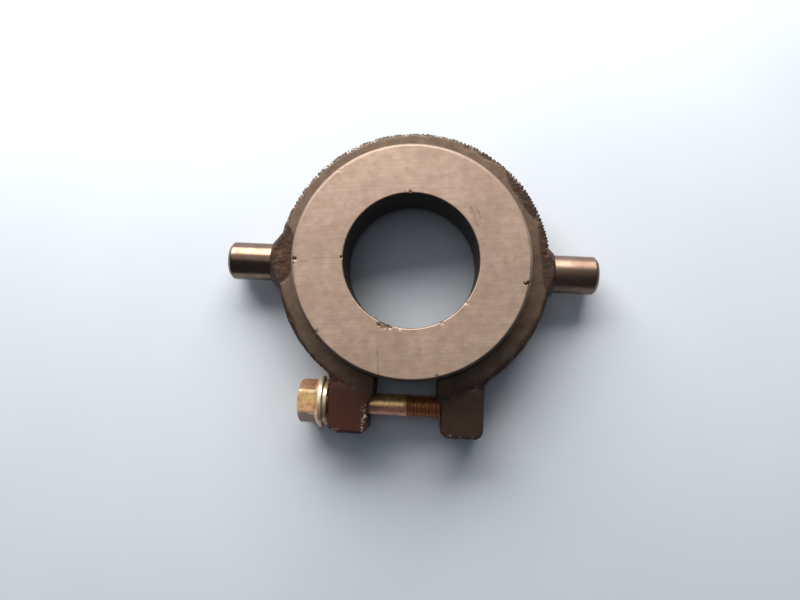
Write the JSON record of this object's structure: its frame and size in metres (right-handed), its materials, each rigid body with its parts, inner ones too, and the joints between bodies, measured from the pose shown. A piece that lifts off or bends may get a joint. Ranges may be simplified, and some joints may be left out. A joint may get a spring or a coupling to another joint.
{
  "type": "clamp-type clutch release collar",
  "caption": "Split clamp ring with side trunnion pins and a pinch bolt across its lugs, gripping a thick flat-faced thrust ring with a shaft bore.",
  "frame": {"origin": "where the axis of the shaft bore crosses the axis of the two trunnion pins, at mid height of the clamp ring", "axes": "+Z along the bore, out through the thrust face; +X along the trunnion pins, away from the bolt's head; the clamp lugs point along -Y"},
  "size_m": [0.1264, 0.1028, 0.0251],
  "materials": {
    "cast_clamp": "oily dark brown casting, machined top",
    "carbon_face": "lapped satin carbon-graphite",
    "pin_steel": "ground and oil-blacked steel",
    "yellow_zinc": "yellow chromate over zinc plate",
    "washer_zinc": "pale yellow zinc plate"
  },
  "bodies": {
    "clamp": {"clamp_ring": "cast_clamp", "left_trunnion_pin": "pin_steel", "right_trunnion_pin": "pin_steel"},
    "ring": {"thrust_ring": "carbon_face"},
    "washer": {"spring_washer": "washer_zinc"},
    "bolt": {"clamp_bolt": "yellow_zinc"}
  },
  "joints": [
    {"name": "ring_lift", "type": "slide", "parent": "clamp", "child": "ring", "axis": [0, 0, 1], "range_m": [0, 0.013]},
    {"name": "bolt_travel", "type": "slide", "parent": "clamp", "child": "washer", "axis": [1, 0, 0], "range_m": [-0.00875, 0]},
    {"name": "bolt_turn", "type": "hinge", "parent": "washer", "child": "bolt", "pos_m": [0, -0.04721, 0], "axis": [1, 0, 0], "range_deg": [-2520.01, 0]}
  ],
  "couplings": [
    {"joint": "bolt_turn", "follows": "bolt_travel", "rad_per_m": 5026.5}
  ]
}
